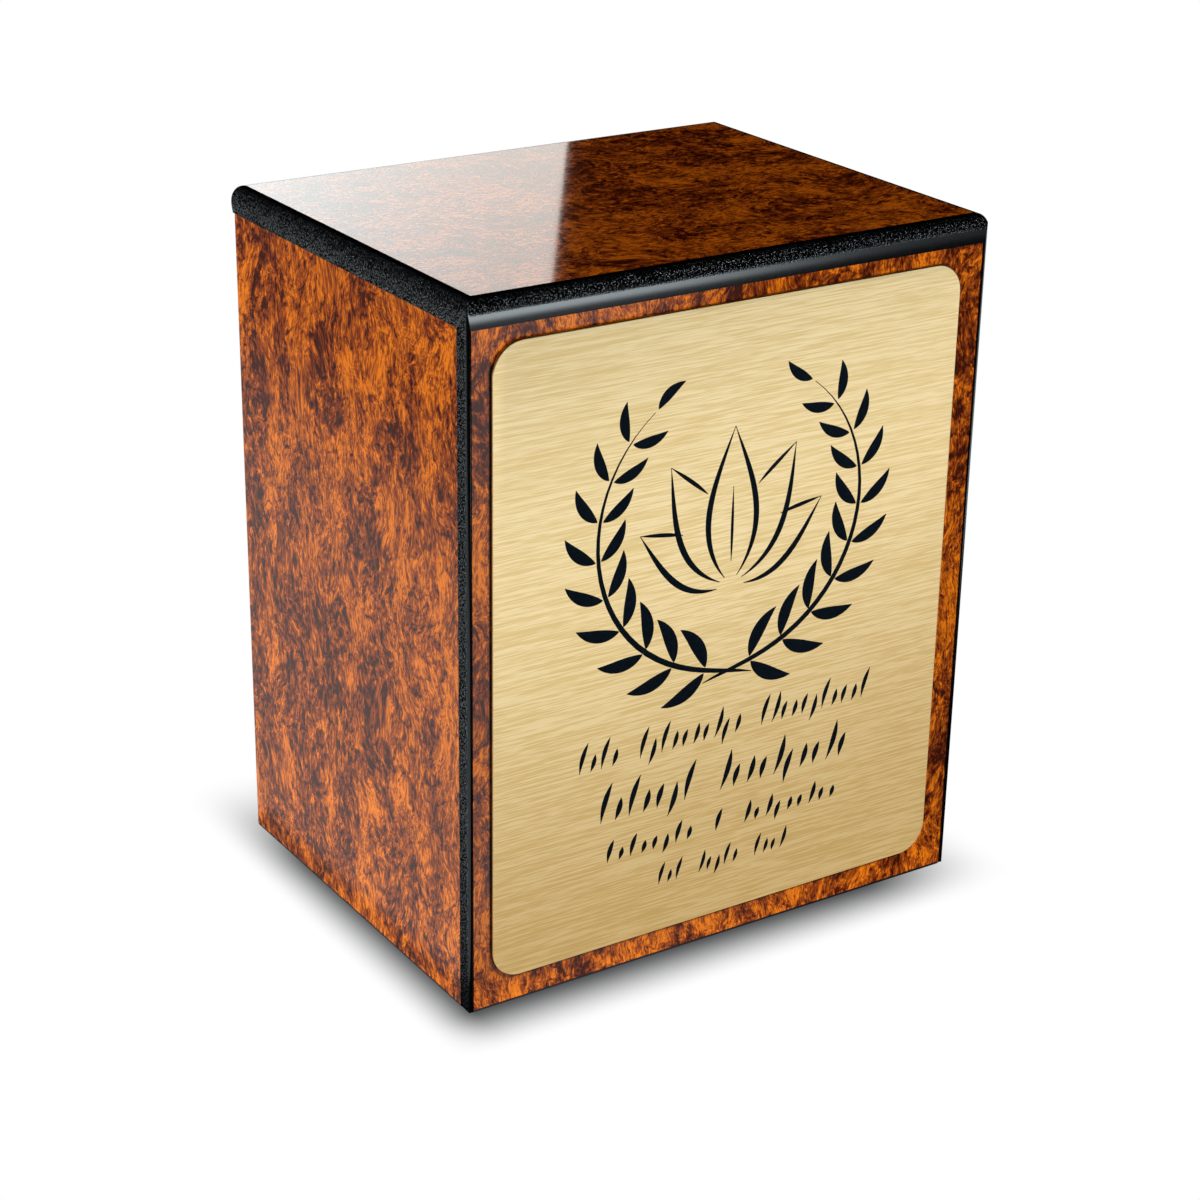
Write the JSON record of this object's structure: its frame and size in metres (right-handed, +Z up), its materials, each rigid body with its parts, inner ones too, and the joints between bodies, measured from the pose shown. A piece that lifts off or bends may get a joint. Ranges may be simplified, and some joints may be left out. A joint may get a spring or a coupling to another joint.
{
  "type": "cremation urn box",
  "caption": "Upright rectangular cremation urn box of burl-veneered boards, with black rounded edge mouldings and an engraved brass plaque over most of its front.",
  "frame": {"origin": "middle of the underside, on the base board, midway between the outer faces of the mouldings", "axes": "+Z up, -Y out of the front with the plaque, +X to the right as the front is faced"},
  "size_m": [0.1778, 0.1405, 0.2159],
  "materials": {
    "burl_veneer": "burl veneer under high-gloss clear lacquer",
    "black_lacquer": "satin black lacquer with a fine pebbled skin",
    "brushed_brass": "brushed along the width, strokes engraved and filled black",
    "base_paint": "matt black paint",
    "screw_steel": "plated steel"
  },
  "bodies": {
    "root": {"front_panel": "burl_veneer", "back_panel": "burl_veneer", "left_panel": "burl_veneer", "right_panel": "burl_veneer", "top_panel": "burl_veneer", "base_panel": "base_paint", "top_moulding_front": "black_lacquer", "top_moulding_back": "black_lacquer", "top_moulding_left": "black_lacquer", "top_moulding_right": "black_lacquer", "corner_moulding_left": "black_lacquer", "corner_moulding_right": "black_lacquer", "plaque": "brushed_brass", "base_screw_1": "screw_steel", "base_screw_2": "screw_steel", "base_screw_3": "screw_steel", "base_screw_4": "screw_steel"}
  },
  "joints": []
}
